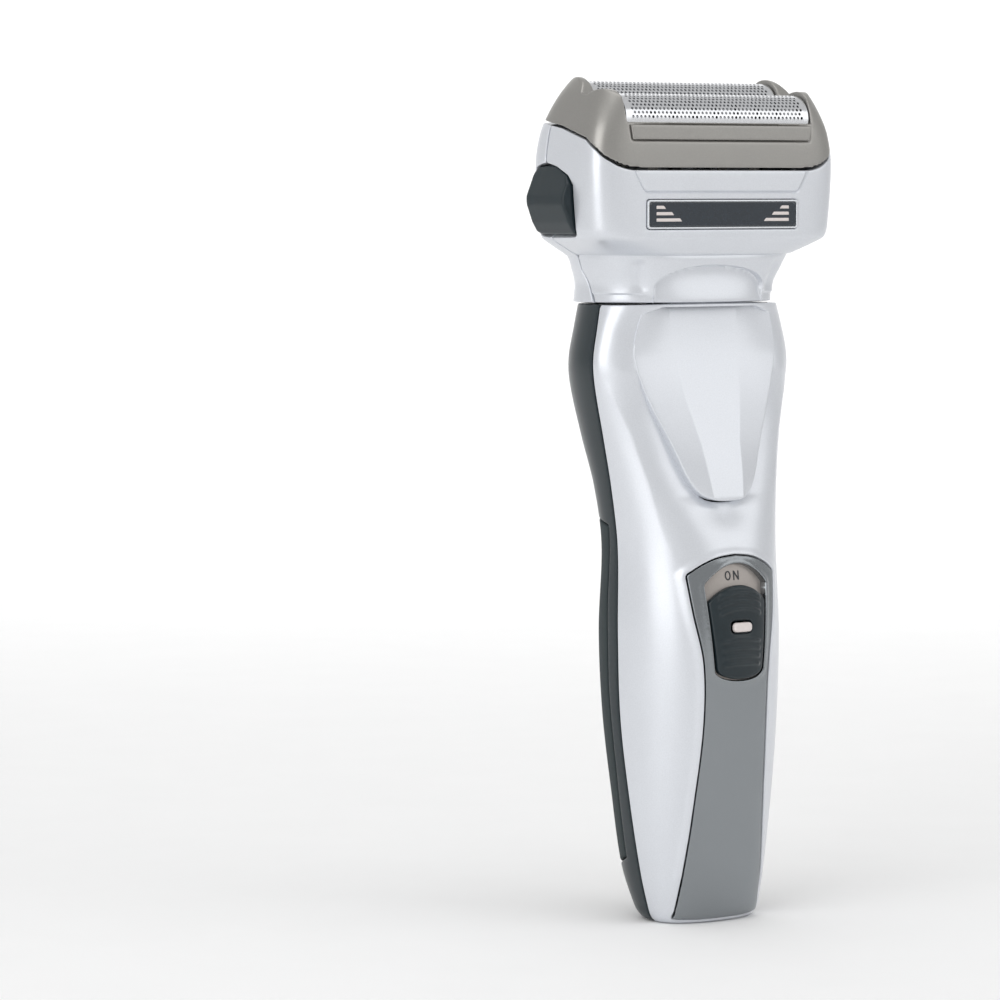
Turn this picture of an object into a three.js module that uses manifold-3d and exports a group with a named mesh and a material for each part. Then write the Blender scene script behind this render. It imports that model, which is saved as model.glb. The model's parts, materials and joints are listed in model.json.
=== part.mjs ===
// Cordless foil shaver with a pull-off head, standing on its base.
// Millimetres, +Z up, front towards -Y, origin on the flat underside of the base.
import * as THREE from 'three';
import { mergeVertices } from 'three/addons/utils/BufferGeometryUtils.js';
import Module from 'manifold-3d';

const wasm = await Module();
wasm.setup();

// ---- Driving dimensions ---------------------------------------------------------------

const GAP = 0.3;              // clearance between pieces that touch
const WALL = 2.2;             // housing wall of the handle
const HEAD_WALL = 1.8;        // housing wall of the head
const HANDLE_TOP = 119.5;     // parting plane between handle and head
const HEAD_BOTTOM = HANDLE_TOP + GAP;
const AROUND = 34;            // points around a housing section
const AROUND_INSIDE = 22;     // and around its cavity

// Handle sections: height, half width, front, back, height of the widest line in Y (the seam).
const HANDLE = [
  [0, 10.6, -10.4, 4.6, -4.2],
  [0.9, 11.7, -11.3, 5.5, -4.2],
  [2.5, 12.4, -11.9, 6.8, -4.1],
  [10, 13.7, -13.3, 10.4, -3.1],
  [25, 15.5, -15.0, 11.9, -1.7],
  [40, 16.5, -16.6, 13.8, -0.2],
  [56, 16.9, -17.0, 14.8, 0.1],
  [73, 17.0, -15.0, 13.2, 0.1],
  [84, 18.4, -12.5, 14.4, 0.2],
  [94, 20.2, -10.0, 17.8, 0.4],
  [104, 22.3, -7.8, 19.8, 0.3],
  [109, 22.8, -7.0, 19.6, 0.1],
  [115, 21.6, -7.2, 19.0, 0.5],
  [HANDLE_TOP, 20.3, -8.0, 18.8, 1.3],
];
const FRONT_POWER = 2.3;      // superellipse powers of the handle's front and rear halves
const REAR_POWER = 2.6;

// Head sections: height, half width, front, back, superellipse power.
const HEAD = [
  [HEAD_BOTTOM, 20.3, -8.0, 18.8, 2.6],
  [123.5, 20.1, -8.0, 18.0, 2.8],
  [126.5, 21.0, -8.3, 17.0, 3.2],
  [128.5, 21.6, -8.6, 16.6, 3.6],
  [129.0, 22.1, -8.8, 16.5, 3.9],
  [131.8, 27.1, -10.8, 14.9, 5.6],
  [132.4, 27.7, -11.0, 14.7, 6.0],
  [134.2, 28.2, -11.0, 14.5, 6.5],
  [146, 28.9, -11.0, 14.4, 7.0],
  [152, 28.2, -10.9, 14.2, 6.5],
  [156, 26.9, -10.5, 13.6, 5.6],
  [160, 25.0, -9.6, 12.6, 4.6],
  [163.4, 22.6, -8.4, 11.4, 3.8],
];
const HEAD_SEAM = 7;          // Y of the joint between front and rear housings of the head
const NECK_SEAM = 3;          // Y of the same joint at the foot of the neck

// Upper edge of the head housings seen from the side, as Y and height.
const HEAD_RIM = [
  [-14, 145.2],
  [-10.8, 145.2],
  [-10, 146.8],
  [-8.4, 148.8],
  [-5.5, 150.9],
  [3, 153.2],
  [10, 154.3],
  [18, 154.8],
];

// Foils: two arched sheets along X, the rear one higher because the head leans forward.
const FOIL_HALF_LENGTH = 21.6;
const FOIL_RADIUS = 4.8;
const FOIL_THICKNESS = 0.35;
const FRONT_FOIL = { y: -4.6, z: 154.9 };
const REAR_FOIL = { y: 5.7, z: 157.4 };
const CHEEK_RADIUS = 5.6;
const CUTTER_RADIUS = 4.0;
const CUTTER_HALF_LENGTH = 19.8;
const CARRIER_DROP = 5.6;     // from the centre line of a foil down to its cutter's carrier
const SLIDER_TOP = 144.6;     // upper face of the oscillating bar under the cutters
const OSCILLATION = 1;        // half stroke of the cutters
const FLOAT = 1;              // travel of a cutter on its spring

// Drive train in the handle.
const SHAFT_Y = 6;            // the motor axis lies behind the handle's centre
const MOTOR = { radius: 10.2, flat: 7.4, bottom: 90, top: 112 };
const SHAFT_RADIUS = 1;
const CRANK_PIN_RADIUS = 0.9;
const DRIVE_HOLE_RADIUS = 5.2;
const CELL = { radius: 5.25, x: 5.6, y: 3.6, bottom: 24, top: 67.4, cap: 1 };
const BOARD = { halfWidth: 8.5, front: -7.6, back: -6.2, bottom: 15, top: 74 };
const CHASSIS = { front: -3.5, back: -2, bottom: 14, top: 79 };
const BOSS = { x: 11.4, z: 74, radius: 2.3, bore: 1.1 };
const SOCKET = { halfWidth: 3.3, front: -8.4, back: -5.2, wall: 0.7 };

// Head: light window in the front, release buttons in the sides.
const WINDOW = { halfWidth: 17.8, bottom: 134, top: 139.5, back: -10.3, bezel: 0.8 };
const RELEASE = { front: -1.8, back: 11.6, bottom: 132.6, top: 146.4, springZ: 139.5 };

// Switch panel on the handle's front, as X and height, right half from the peak down.
const PANEL_EDGE = [
  [0, 71.6],
  [4, 71.1],
  [7.4, 69.8],
  [10.2, 68],
  [9.2, 60],
  [7.6, 51],
  [7.3, 39],
  [8.3, 21],
  [9.1, 11],
  [9.8, 1.8],
];
const PANEL_DEPTH = 1.2;
const SLOT = { halfWidth: 7.2, top: 70, bottom: 47.6, shoulder: 66.2 };
const BUTTON = { halfWidth: 6.65, top: 65.9, bottom: 47.9, shoulder: 62.8, proud: 1.1 };
const LENS = { halfWidth: 2.1, bottom: 57, top: 58.8, face: -18.1, back: -17.7 };

// Thumb shield above the panel, a flat that leans back: its edge as X and height, right half from
// the top down, and its face seen from the side, as Y and height.
const SHIELD_BOTTOM = 82.6;
const SHIELD_EDGE = [
  [14.8, HANDLE_TOP],
  [16.6, 113.5],
  [17, 109],
  [14.4, 101],
  [10.6, 93],
  [8, 86],
  [6, 83.2],
];
const SHIELD_FACE = [[-13, 82], [-10.2, 93], [-7.6, 102], [-5.2, 110], [-3.4, 121]];

// Rubber grip on the back: its front edge seen from the side, as Y and height.
const GRIP_EDGE = [[1.2, 12], [2, 30], [3.4, 45], [3.6, 62], [2.4, 77]];
const GRIP_BACK = { bottom: 8, top: 80 };
const GRIP_DEPTH = 1.1;

// ---- Solid helpers ------------------------------------------------------------------------

function solid(geometry) {
  geometry.deleteAttribute('normal');
  geometry.deleteAttribute('uv');
  const merged = mergeVertices(geometry, 1e-4);
  return new wasm.Manifold(new wasm.Mesh({
    numProp: 3,
    vertProperties: Float32Array.from(merged.attributes.position.array),
    triVerts: Uint32Array.from(merged.index.array),
  }));
}

const group = new THREE.Group();

function piece(name, shape, material) {
  const { vertProperties, triVerts } = shape.getMesh();
  const geometry = new THREE.BufferGeometry();
  geometry.setAttribute('position', new THREE.BufferAttribute(vertProperties, 3));
  geometry.setIndex(new THREE.BufferAttribute(triVerts, 1));
  geometry.computeVertexNormals();
  const mesh = new THREE.Mesh(geometry, material);
  mesh.name = name;
  group.add(mesh);
}

function finish(color, roughness, metalness) {
  return new THREE.MeshStandardMaterial({ color, roughness, metalness });
}

function box(x0, x1, y0, y1, z0, z1) {
  const geometry = new THREE.BoxGeometry(x1 - x0, y1 - y0, z1 - z0);
  return solid(geometry.translate((x0 + x1) / 2, (y0 + y1) / 2, (z0 + z1) / 2));
}

// Upright cylinder from z0 to z1.
function rod(x, y, z0, z1, radius, sides = 20) {
  const geometry = new THREE.CylinderGeometry(radius, radius, z1 - z0, sides).rotateX(Math.PI / 2);
  return solid(geometry.translate(x, y, (z0 + z1) / 2));
}

// Round bar along Y from y0 to y1.
function barY(x, z, y0, y1, radius, sides = 16) {
  return solid(new THREE.CylinderGeometry(radius, radius, y1 - y0, sides).translate(x, (y0 + y1) / 2, z));
}

// Prism of an outline of [x, z] points, reaching from y0 to y1.
function prismY(points, y0, y1) {
  const shape = new THREE.Shape(points.map(([x, z]) => new THREE.Vector2(x, z)));
  const geometry = new THREE.ExtrudeGeometry(shape, { depth: y1 - y0, bevelEnabled: false });
  return solid(geometry.rotateX(Math.PI / 2).translate(0, y1, 0));
}

// Prism of an outline of [y, z] points, reaching from x0 to x1.
function prismX(points, x0, x1) {
  const shape = new THREE.Shape(points.map(([y, z]) => new THREE.Vector2(y, z)));
  const geometry = new THREE.ExtrudeGeometry(shape, { depth: x1 - x0, bevelEnabled: false });
  const toYZ = new THREE.Matrix4().set(0, 0, 1, x0, 1, 0, 0, 0, 0, 1, 0, 0, 0, 0, 0, 1);
  return solid(geometry.applyMatrix4(toYZ));
}

// Right half outline mirrored to a closed one; grow moves it outwards sideways and in height.
function mirrored(half, grow = 0) {
  const middle = (half[0][1] + half[half.length - 1][1]) / 2;
  const right = half.map(([x, z]) => [x > 0 ? x + grow : 0, z + grow * Math.sign(z - middle)]);
  const left = right.filter(([x]) => x > 0).map(([x, z]) => [-x, z]).reverse();
  return [...right, ...left];
}

// Smooth value between knots [t, v0, v1, ...]: a cubic with the slopes of the neighbouring knots.
function between(knots, t, column) {
  const last = knots.length - 1;
  let i = 0;
  while (i < last - 1 && t > knots[i + 1][0]) i += 1;
  const slope = (k) => {
    const a = knots[Math.max(k - 1, 0)];
    const b = knots[Math.min(k + 1, last)];
    return (b[column] - a[column]) / (b[0] - a[0]);
  };
  const span = knots[i + 1][0] - knots[i][0];
  const u = Math.min(Math.max((t - knots[i][0]) / span, 0), 1);
  const ease = u * u * (3 - 2 * u);
  const rise = u * (1 - u) * (1 - u) * slope(i) - u * u * (1 - u) * slope(i + 1);
  return knots[i][column] * (1 - ease) + knots[i + 1][column] * ease + rise * span;
}

// One ring of a housing: half width a, from front to back, widest at seam.
function ring(z, a, front, back, seam, frontPower, rearPower, around) {
  const points = [];
  for (let i = 0; i < around; i += 1) {
    const angle = (2 * Math.PI * i) / around;
    const c = Math.cos(angle);
    const s = Math.sin(angle);
    const power = s < 0 ? frontPower : rearPower;
    const depth = s < 0 ? seam - front : back - seam;
    const x = a * Math.sign(c) * Math.abs(c) ** (2 / power);
    const y = seam + depth * Math.sign(s) * Math.abs(s) ** (2 / power);
    points.push(new THREE.Vector3(x, y, z));
  }
  return points;
}

function handleRing(z, inset, around) {
  const [a, front, back, seam] = [1, 2, 3, 4].map((column) => between(HANDLE, z, column));
  return ring(z, a - inset, front + inset, back - inset, seam, FRONT_POWER, REAR_POWER, around);
}

function headRing(z, inset, around) {
  const [a, front, back, power] = [1, 2, 3, 4].map((column) => between(HEAD, z, column));
  return ring(z, a - inset, front + inset, back - inset, (front + back) / 2, power, power, around);
}

// Closed skin over a stack of rings.
function loft(rings) {
  const count = rings[0].length;
  const middle = (points) => points
    .reduce((sum, p) => sum.add(p), new THREE.Vector3()).divideScalar(count);
  const vertices = [...rings.flat(), middle(rings[0]), middle(rings[rings.length - 1])];
  const bottom = rings.length * count;
  const index = [];
  for (let i = 0; i < count; i += 1) {
    const j = (i + 1) % count;
    index.push(bottom, j, i);
    index.push(bottom + 1, bottom - count + i, bottom - count + j);
    for (let r = 0; r < rings.length - 1; r += 1) {
      const low = r * count;
      const high = low + count;
      index.push(low + i, low + j, high + j, low + i, high + j, high + i);
    }
  }
  const geometry = new THREE.BufferGeometry().setFromPoints(vertices);
  geometry.setIndex(index);
  return solid(geometry);
}

function steps(from, to, count) {
  return Array.from({ length: count + 1 }, (_, i) => from + ((to - from) * i) / count);
}

function handleSolid(inset, around = AROUND) {
  const levels = [0, 0.4, 0.9, 1.7, 2.5, 5.5, 10, ...steps(18, 115, 11), HANDLE_TOP];
  return loft(levels.map((z) => handleRing(z, inset, around)));
}

function headSolid(inset, around = AROUND) {
  const levels = [...HEAD.map(([z]) => z), 140, 149].sort((a, b) => a - b);
  return loft(levels.map((z) => headRing(z, inset, around)));
}

// ---- Materials ----------------------------------------------------------------------------

const silver = finish(0xb9c0c8, 0.32, 0.6);
const black = finish(0x20292d, 0.3, 0);
const rubber = finish(0x2b3337, 0.8, 0);
const smokedChrome = finish(0x8b9096, 0.12, 1);
const beige = finish(0xd9c8bd, 0.5, 0);
const bronze = finish(0x96918a, 0.35, 0.8);
const steel = finish(0xc9ccd0, 0.25, 1);
const darkGlass = finish(0x27323c, 0.1, 0);
const copper = finish(0xb87445, 0.35, 1);
const boardGreen = finish(0x1f5a3a, 0.6, 0);
const cellGreen = finish(0x2f7d5b, 0.4, 0);
const white = finish(0xe8e6e2, 0.5, 0);
const nylon = finish(0x3a3f45, 0.55, 0);

// ---- Handle housings ----------------------------------------------------------------------

const outer = handleSolid(0);
const cavity = handleSolid(WALL, AROUND_INSIDE).intersect(box(-30, 30, -30, 30, WALL, HANDLE_TOP - 2));
const seamLine = steps(-1, HANDLE_TOP + 1, 12).map((z) => [between(HANDLE, Math.max(z, 0), 4), z]);
const frontSide = prismX([...seamLine.map(([y, z]) => [y - GAP / 2, z]), [-40, 121], [-40, -1]], -40, 40);
const rearSide = prismX([...seamLine.map(([y, z]) => [y + GAP / 2, z]), [40, 121], [40, -1]], -40, 40);
const driveHole = rod(0, SHAFT_Y, 115, 121, DRIVE_HOLE_RADIUS, 24);

const panelOutline = mirrored(PANEL_EDGE);
const panelPocket = prismY(mirrored(PANEL_EDGE, GAP), -30, 0)
  .subtract(handleSolid(PANEL_DEPTH + GAP));

// A flat arch on sides that draw in towards a rounded foot.
function slotOutline(halfWidth, top, bottom, shoulder) {
  const arch = steps(1, -1, 10).map((share) => [
    halfWidth * share, shoulder + (top - shoulder) * (1 - share * share)]);
  const foot = steps(Math.PI, 2 * Math.PI, 8).map((t) => [
    halfWidth * 0.78 * Math.cos(t), bottom + 2 + 2 * Math.sin(t)]);
  return [...arch, ...foot];
}

function slotShape(grow) {
  return slotOutline(SLOT.halfWidth + grow, SLOT.top + grow, SLOT.bottom - grow, SLOT.shoulder);
}

const plateWindow = prismY(slotShape(1.1), -30, -5);

// Everything behind the shield's face, or behind a face that lies deeper.
function behindFace(depth) {
  return prismX([...SHIELD_FACE.map(([y, z]) => [y + depth, z]), [30, 121], [30, 82]], -40, 40);
}

const shieldHalf = [[0, 125], [SHIELD_EDGE[0][0], 125], ...SHIELD_EDGE, [0, SHIELD_BOTTOM]];
const shieldPrism = prismY(mirrored(shieldHalf), -30, 0);
const shield = shieldPrism.intersect(behindFace(0)).intersect(box(-30, 30, -30, 0, 80, HANDLE_TOP));
const besideShield = outer.subtract(shieldPrism.subtract(behindFace(0)));
const inletHole = box(-SOCKET.halfWidth - GAP, SOCKET.halfWidth + GAP,
  SOCKET.front - GAP, SOCKET.back + GAP, -1, 3);

const screwBoss = (x) => barY(x, BOSS.z, -14, -3.8, BOSS.radius).intersect(outer)
  .subtract(barY(x, BOSS.z, -9, -2, BOSS.bore, 10));
const bosses = screwBoss(-BOSS.x).add(screwBoss(BOSS.x));
const thumbCavity = cavity.subtract(shieldPrism.subtract(behindFace(WALL)));
const frontShell = besideShield.add(shield).intersect(frontSide)
  .subtract(thumbCavity).add(bosses).subtract(driveHole)
  .subtract(panelPocket).subtract(plateWindow).subtract(inletHole);
piece('front_shell', frontShell, silver);

// The rear shell carries a rubber grip in a shallow pocket from the waist down.
function gripBand(inset) {
  const edge = GRIP_EDGE.map(([y, z]) => [y + inset, z + inset * Math.sign(GRIP_BACK.top / 2 - z)]);
  return prismX([...edge, [40, GRIP_BACK.top - inset], [40, GRIP_BACK.bottom + inset]], -40, 40);
}

const gripPocket = gripBand(0).subtract(handleSolid(GRIP_DEPTH + GAP));
const rearShell = outer.intersect(rearSide).subtract(cavity).subtract(driveHole).subtract(gripPocket);
piece('rear_shell', rearShell, black);
piece('rear_grip', outer.intersect(gripBand(GAP)).subtract(handleSolid(GRIP_DEPTH)), rubber);

// ---- Switch panel -------------------------------------------------------------------------

const slotOpening = prismY(slotShape(0), -30, 0);
piece('switch_panel', outer.intersect(prismY(panelOutline, -30, 0))
  .subtract(handleSolid(PANEL_DEPTH)).subtract(slotOpening), smokedChrome);
piece('slot_plate', handleSolid(PANEL_DEPTH + GAP).intersect(prismY(slotShape(0.8), -30, 0))
  .subtract(handleSolid(WALL + 0.2)).subtract(box(-2, 2, -30, 0, 52, 62.5)), beige);

const buttonOutline = slotOutline(BUTTON.halfWidth, BUTTON.top, BUTTON.bottom, BUTTON.shoulder);
const buttonBody = prismY(buttonOutline, -30, 0).intersect(handleSolid(-BUTTON.proud))
  .subtract(handleSolid(PANEL_DEPTH - 0.2));
const buttonStem = box(-1.6, 1.6, -16.6, -11.6, 54, 58.4);
const lensPocket = box(-LENS.halfWidth - GAP, LENS.halfWidth + GAP, -30, LENS.back + GAP,
  LENS.bottom - GAP, LENS.top + GAP);
piece('switch_button', buttonBody.add(buttonStem).subtract(lensPocket), black);
piece('indicator_lens', box(-LENS.halfWidth, LENS.halfWidth, LENS.face, LENS.back,
  LENS.bottom, LENS.top), white);

// ---- Inside the handle --------------------------------------------------------------------

const motorShape = rod(0, 0, MOTOR.bottom, MOTOR.top, MOTOR.radius, 28)
  .intersect(box(-20, 20, -MOTOR.flat, MOTOR.flat, 0, 130));
piece('motor_can', motorShape.translate([0, SHAFT_Y, 0]).add(rod(0, SHAFT_Y, 110, 112.4, 3, 18))
  .subtract(rod(0, SHAFT_Y, 106, 113, 1.3, 14)), steel);
piece('motor_shaft', rod(0, SHAFT_Y, 107, 116.6, SHAFT_RADIUS, 14), steel);
const crank = rod(0, SHAFT_Y, 113, 117.6, 3.2, 24)
  .subtract(rod(0, SHAFT_Y, 112, 116.6 + GAP, SHAFT_RADIUS + GAP, 14));
piece('crank', crank.add(rod(OSCILLATION, SHAFT_Y, 117.5, 128.4, CRANK_PIN_RADIUS, 14)), white);
piece('drive_seal', rod(0, SHAFT_Y, HANDLE_TOP - 1.8, HANDLE_TOP - 0.1, DRIVE_HOLE_RADIUS - GAP, 24)
  .subtract(rod(0, SHAFT_Y, 115, 121, 3.7, 24)), rubber);

// The chassis carries the board in front and the cells behind, and is screwed to the bosses.
const chassisPlate = (halfWidth, bottom) => box(-halfWidth, halfWidth, CHASSIS.front, CHASSIS.back,
  bottom, CHASSIS.top);
const chassisHole = (x) => barY(x, BOSS.z, CHASSIS.front - 1, CHASSIS.back + 1, BOSS.bore, 10);
const chassis = chassisPlate(11, CHASSIS.bottom).add(chassisPlate(13.6, 71))
  .add(box(-9, 9, CHASSIS.front, 7, CHASSIS.top - 1.6, CHASSIS.top))
  .subtract(chassisHole(-BOSS.x)).subtract(chassisHole(BOSS.x));
piece('chassis', chassis, white);
for (const [side, x] of [['left', -BOSS.x], ['right', BOSS.x]]) {
  const screwHead = barY(x, BOSS.z, CHASSIS.back + GAP, CHASSIS.back + 1.9, 1.8, 14);
  const screwShank = barY(x, BOSS.z, -7.4, CHASSIS.back + 0.4, BOSS.bore - GAP, 10);
  piece(`chassis_screw_${side}`, screwHead.add(screwShank), steel);
}
for (const [side, x] of [['left', -CELL.x], ['right', CELL.x]]) {
  const can = rod(x, CELL.y, CELL.bottom, CELL.top, CELL.radius, 20);
  const cap = rod(x, CELL.y, CELL.top - 0.1, CELL.top + CELL.cap, 1.9, 14);
  piece(`battery_cell_${side}`, can.add(cap), cellGreen);
}
const contact = (bottom, top) => box(-8, 8, CELL.y - 2.6, CELL.y + 2.6, bottom, top);
piece('battery_contact_top', contact(CELL.top + CELL.cap + 0.4, CELL.top + CELL.cap + 0.9), copper);
piece('battery_contact_bottom', contact(CELL.bottom - 1, CELL.bottom - 0.4), copper);
piece('circuit_board', box(-BOARD.halfWidth, BOARD.halfWidth, BOARD.front, BOARD.back,
  BOARD.bottom, BOARD.top), boardGreen);
piece('slide_switch', box(-4, 4, -10.6, BOARD.front - GAP, 50.6, 66)
  .subtract(box(-2.2, 2.2, -12, -9, 52, 64.4)), nylon);
piece('board_led', box(-1, 1, -9, BOARD.front - GAP, 70.2, 72), white);
const socketRoom = box(-SOCKET.halfWidth + SOCKET.wall, SOCKET.halfWidth - SOCKET.wall,
  SOCKET.front + 0.5, SOCKET.back - 0.5, 0, 7);
piece('charging_socket', box(-SOCKET.halfWidth, SOCKET.halfWidth, SOCKET.front, SOCKET.back, 0.4, 9)
  .subtract(socketRoom), nylon);
for (const [side, x] of [['left', -1.3], ['right', 1.3]]) {
  const pin = rod(x, (SOCKET.front + SOCKET.back) / 2, 1.2, 7 - GAP, 0.45, 10);
  piece(`charging_pin_${side}`, pin, copper);
}

// ---- Head housings ------------------------------------------------------------------------

const headOuter = headSolid(0);
const rim = (lift) => HEAD_RIM.map(([y, z]) => [y, z + lift]);
const belowRim = prismX([...rim(0), [30, 100], [-30, 100]], -40, 40);
const aboveRim = prismX([...rim(GAP), [30, 180], [-30, 180]], -40, 40);
const headCavity = headSolid(HEAD_WALL, AROUND_INSIDE)
  .intersect(box(-40, 40, -30, 30, HEAD_BOTTOM + 2, 144))
  .add(box(-24.5, 24.5, -9, 12.4, 141, 170));
const headSeamLine = [[NECK_SEAM, 119], [6.6, 126], [HEAD_SEAM, 131], [HEAD_SEAM, 170]];
const headSeam = (shift) => headSeamLine.map(([y, z]) => [y + shift, z]);
const headFront = prismX([...headSeam(-GAP / 2), [-40, 170], [-40, 119]], -40, 40);
const headRear = prismX([...headSeam(GAP / 2), [40, 170], [40, 119]], -40, 40);
const pinHole = rod(0, SHAFT_Y, 119, 123, 4, 24);
const sideWindow = box(22.5, 35, RELEASE.front, RELEASE.back, RELEASE.bottom, RELEASE.top);
const housing = headOuter.intersect(belowRim).subtract(headCavity).subtract(pinHole)
  .subtract(sideWindow).subtract(sideWindow.mirror([1, 0, 0]));

// Upright box in the window of the head, smaller than the window by the inset all around.
function windowBox(inset, front, back) {
  const halfWidth = WINDOW.halfWidth - inset;
  return box(-halfWidth, halfWidth, front, back, WINDOW.bottom + inset, WINDOW.top - inset);
}

// A wall inside the front housing that each release spring pushes against.
const springSeat = box(19.6, 20.6, -9.9, 6, RELEASE.springZ - 2, RELEASE.springZ + 2);
piece('head_front_housing', housing.intersect(headFront).add(springSeat).add(springSeat.mirror([1, 0, 0]))
  .subtract(windowBox(-GAP, -20, WINDOW.back + GAP)), silver);
piece('head_rear_housing', housing.intersect(headRear), silver);
piece('window_bezel', windowBox(0, WINDOW.back - 1.1, WINDOW.back)
  .subtract(windowBox(WINDOW.bezel, -20, 0)), steel);
piece('window_pane', windowBox(WINDOW.bezel + GAP, WINDOW.back - 0.8, WINDOW.back), darkGlass);

// ---- Release buttons ----------------------------------------------------------------------

// Seen from the front a button is a wedge, proud at mid height; X and share of its height.
const BUTTON_WEDGE = [[24.6, 0], [24.6, 1], [28.2, 1], [30.6, 0.49], [27.8, 0]];
const buttonHeight = RELEASE.top - RELEASE.bottom - 2 * GAP;
for (const [name, side] of [['left', -1], ['right', 1]]) {
  const outline = BUTTON_WEDGE.map(([x, share]) => [
    side * x, RELEASE.bottom + GAP + share * buttonHeight]);
  piece(`release_button_${name}`, prismY(outline, RELEASE.front + GAP, RELEASE.back - GAP), black);
  const barX = (radius, length) => solid(new THREE.CylinderGeometry(radius, radius, length, 14)
    .rotateZ(Math.PI / 2).translate(side * 22, 3, RELEASE.springZ));
  piece(`release_spring_${name}`, barX(1.6, 2.2).subtract(barX(1, 4)), steel);
}

// ---- Foil frame and foils -----------------------------------------------------------------

// Points on an arch of the given radius about a foil's centre line.
function arch(foil, radius, from, to, count) {
  const point = (t) => [foil.y + radius * Math.cos(t), foil.z + radius * Math.sin(t)];
  return steps(from, to, count).map(point);
}

const cheekOutline = [
  [-14, 144],
  [20, 144],
  [20, 158.6],
  ...arch(REAR_FOIL, CHEEK_RADIUS, 0, Math.PI * 0.86, 10),
  ...arch(FRONT_FOIL, CHEEK_RADIUS, Math.PI * 0.3, Math.PI, 9),
  [-14, 154.4],
];
const roomFront = FRONT_FOIL.y - FOIL_RADIUS - 0.15;
const roomBack = REAR_FOIL.y + FOIL_RADIUS + 0.15;
const foilRoom = prismX([
  [-16, 154.2],
  [roomFront, 154.2],
  [roomFront, 140],
  [roomBack, 140],
  [roomBack, REAR_FOIL.z],
  [22, REAR_FOIL.z],
  [22, 170],
  [-16, 170],
], -FOIL_HALF_LENGTH - GAP, FOIL_HALF_LENGTH + GAP);
const trim = { top: 153.7, bottom: 150.9, halfTop: 21.4, halfBottom: 20.9, back: -10.5 };
const trimHalf = [
  [0, trim.top], [trim.halfTop, trim.top], [trim.halfBottom, trim.bottom], [0, trim.bottom]];
const centreBar = box(-22.5, 22.5, 0.35, 0.75, 152.5, 155.6);
const frame = headOuter.intersect(aboveRim).intersect(prismX(cheekOutline, -40, 40))
  .subtract(foilRoom).add(centreBar)
  .subtract(prismY(mirrored(trimHalf, GAP), -20, trim.back + GAP));
piece('foil_frame', frame, bronze);
piece('frame_trim', prismY(mirrored(trimHalf), trim.back - 0.4, trim.back), bronze);

for (const [name, foil] of [['front_foil', FRONT_FOIL], ['rear_foil', REAR_FOIL]]) {
  const outside = arch(foil, FOIL_RADIUS, 0, Math.PI, 16);
  const inside = arch(foil, FOIL_RADIUS - FOIL_THICKNESS, Math.PI, 0, 16);
  const foot = foil.z - 1.6;
  const section = [[foil.y + FOIL_RADIUS, foot], ...outside, [foil.y - FOIL_RADIUS, foot],
    [foil.y - FOIL_RADIUS + FOIL_THICKNESS, foot], ...inside,
    [foil.y + FOIL_RADIUS - FOIL_THICKNESS, foot]];
  piece(name, prismX(section, -FOIL_HALF_LENGTH, FOIL_HALF_LENGTH), steel);
}

// ---- Cutters and their drive --------------------------------------------------------------

// The crank pin runs in a slot of the oscillating bar that is wide enough for every position of both.
const slotHalf = CRANK_PIN_RADIUS + 2 * OSCILLATION + 0.2;
const pinSlot = box(-slotHalf, slotHalf, SHAFT_Y - 2.2, SHAFT_Y + 2.2, 120, 130);
const yoke = box(-5, 5, SHAFT_Y - 3.6, SHAFT_Y + 3.6, 123.6, 129.5).subtract(pinSlot);
const stem = box(-3, 3, SHAFT_Y - 3, SHAFT_Y + 3, 129.4, SLIDER_TOP - 1.5);
let slider = box(-15, 15, -7.6, 8.4, SLIDER_TOP - 1.6, SLIDER_TOP).add(stem).add(yoke);
for (const [name, foil] of [['front', FRONT_FOIL], ['rear', REAR_FOIL]]) {
  const carrierBottom = foil.z - CARRIER_DROP;
  const drumOutline = [
    ...arch(foil, CUTTER_RADIUS, 0, Math.PI, 12),
    [foil.y - CUTTER_RADIUS, foil.z - 2],
    [foil.y + CUTTER_RADIUS, foil.z - 2],
  ];
  let cutter = prismX(drumOutline, -CUTTER_HALF_LENGTH, CUTTER_HALF_LENGTH);
  for (const x of steps(-CUTTER_HALF_LENGTH, CUTTER_HALF_LENGTH, 8).slice(1, -1)) {
    cutter = cutter.subtract(box(x - 0.7, x + 0.7, foil.y - 6, foil.y + 6, foil.z - 0.8, foil.z + 6));
  }
  cutter = cutter.add(box(-18, 18, foil.y - 3, foil.y + 3, carrierBottom, foil.z - 1.9));
  for (const x of [-12, 12]) {
    slider = slider.add(rod(x, foil.y, SLIDER_TOP - 0.1, carrierBottom + 1.6, 1, 12));
    const seatTop = carrierBottom + 1.6 + FLOAT + GAP;
    cutter = cutter.subtract(rod(x, foil.y, carrierBottom - 1, seatTop, 1.2, 12));
  }
  piece(`${name}_cutter`, cutter, steel);
  piece(`${name}_cutter_spring`, coilSpring(foil.y, SLIDER_TOP + GAP, carrierBottom - GAP), steel);
}
piece('oscillator', slider, white);

// A compression spring wound upwards between two heights.
function coilSpring(y, bottom, top) {
  const turns = 3;
  const wire = 0.3;
  const path = new THREE.Curve();
  path.getPoint = (t, target = new THREE.Vector3()) => {
    const angle = 2 * Math.PI * turns * t;
    const z = bottom + wire + (top - bottom - 2 * wire) * t;
    return target.set(2 * Math.cos(angle), y + 2 * Math.sin(angle), z);
  };
  const section = new THREE.Shape().absarc(0, 0, wire, 0, 2 * Math.PI);
  const along = { steps: 11 * turns, extrudePath: path, curveSegments: 2 };
  return solid(new THREE.ExtrudeGeometry(section, along));
}

export default group;
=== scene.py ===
"""Visual model of a cordless foil shaver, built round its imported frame.

Sizes are millimetres until a mesh is made; +Z is up and the front looks towards -Y.
"""

import json
import math

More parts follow.
